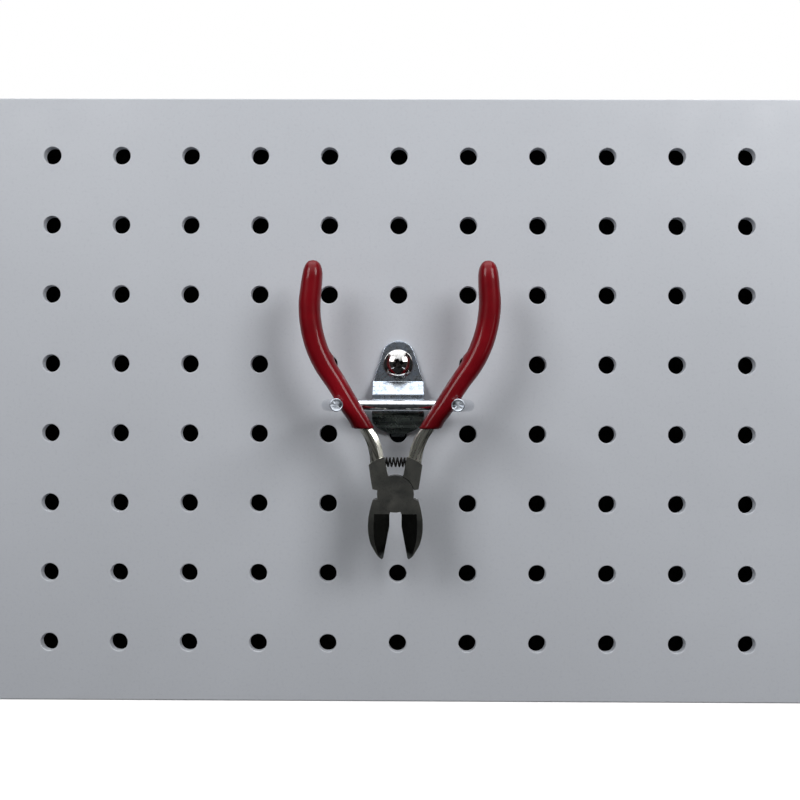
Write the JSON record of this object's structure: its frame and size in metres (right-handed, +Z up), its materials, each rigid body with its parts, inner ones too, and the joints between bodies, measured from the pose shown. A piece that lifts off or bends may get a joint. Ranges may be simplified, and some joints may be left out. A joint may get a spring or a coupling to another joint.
{
  "type": "pegboard tool wall",
  "caption": "White perforated panel on a rail frame, with a screwed-on double-prong hook holding sprung side cutters with red dipped grips.",
  "frame": {"origin": "centre of the top rail's back face, which lies against the wall", "axes": "+X to the right seen from the front, +Y into the wall, +Z up"},
  "size_m": [0.3, 0.0609, 0.22],
  "materials": {
    "white_board": "matt white board, fine orange-peel skin",
    "pine_rail": "planed, unvarnished",
    "dark_fibreboard": "matt black fibreboard",
    "zinc_plate": "bright zinc plate on stamped sheet",
    "bright_zinc": "polished zinc plate on drawn wire",
    "zinc_screw": "zinc-plated screw",
    "nylon": "natural moulded nylon",
    "tool_steel": "ground and satin polished",
    "spring_steel": "oil-blackened spring wire",
    "red_vinyl": "glossy dipped vinyl"
  },
  "bodies": {
    "board": {"peg_panel": "white_board", "top_rail": "pine_rail", "bottom_rail": "pine_rail", "left_stile": "pine_rail", "right_stile": "pine_rail", "back_sheet": "dark_fibreboard", "left_hanger": "zinc_plate", "right_hanger": "zinc_plate", "hook_bracket": "zinc_plate", "prong_wire": "bright_zinc", "hook_screw": "bright_zinc", "screw_plug": "nylon", "frame_screw_1": "zinc_screw", "hanger_screw_1": "zinc_screw", "frame_screw_2": "zinc_screw", "hanger_screw_2": "zinc_screw", "frame_screw_3": "zinc_screw", "hanger_screw_3": "zinc_screw", "frame_screw_4": "zinc_screw", "hanger_screw_4": "zinc_screw"},
    "cutter_pivot": {"pivot_rivet": "tool_steel", "return_spring": "spring_steel"},
    "front_lever_and_left_grip": {"front_lever": "tool_steel", "left_grip": "red_vinyl"},
    "rear_lever_and_right_grip": {"rear_lever": "tool_steel", "right_grip": "red_vinyl"}
  },
  "joints": [
    {"name": "cutter_lift", "type": "slide", "parent": "board", "child": "cutter_pivot", "axis": [0, 0, 1], "range_m": [0, 0.06]},
    {"name": "front_lever_hinge", "type": "hinge", "parent": "cutter_pivot", "child": "front_lever_and_left_grip", "pos_m": [-0.0007, -0.0335, -0.1357], "axis": [0, 1, 0], "range_deg": [0, 10], "stiffness_Nm_per_rad": 0.18, "springref_deg": -4.58, "deforming": ["return_spring"]},
    {"name": "rear_lever_hinge", "type": "hinge", "parent": "cutter_pivot", "child": "rear_lever_and_right_grip", "pos_m": [-0.0007, -0.0335, -0.1357], "axis": [0, 1, 0], "range_deg": [-10, 0], "stiffness_Nm_per_rad": 0.18, "springref_deg": 4.58}
  ],
  "couplings": [
    {"joint": "rear_lever_hinge", "follows": "front_lever_hinge", "ratio": -1}
  ]
}
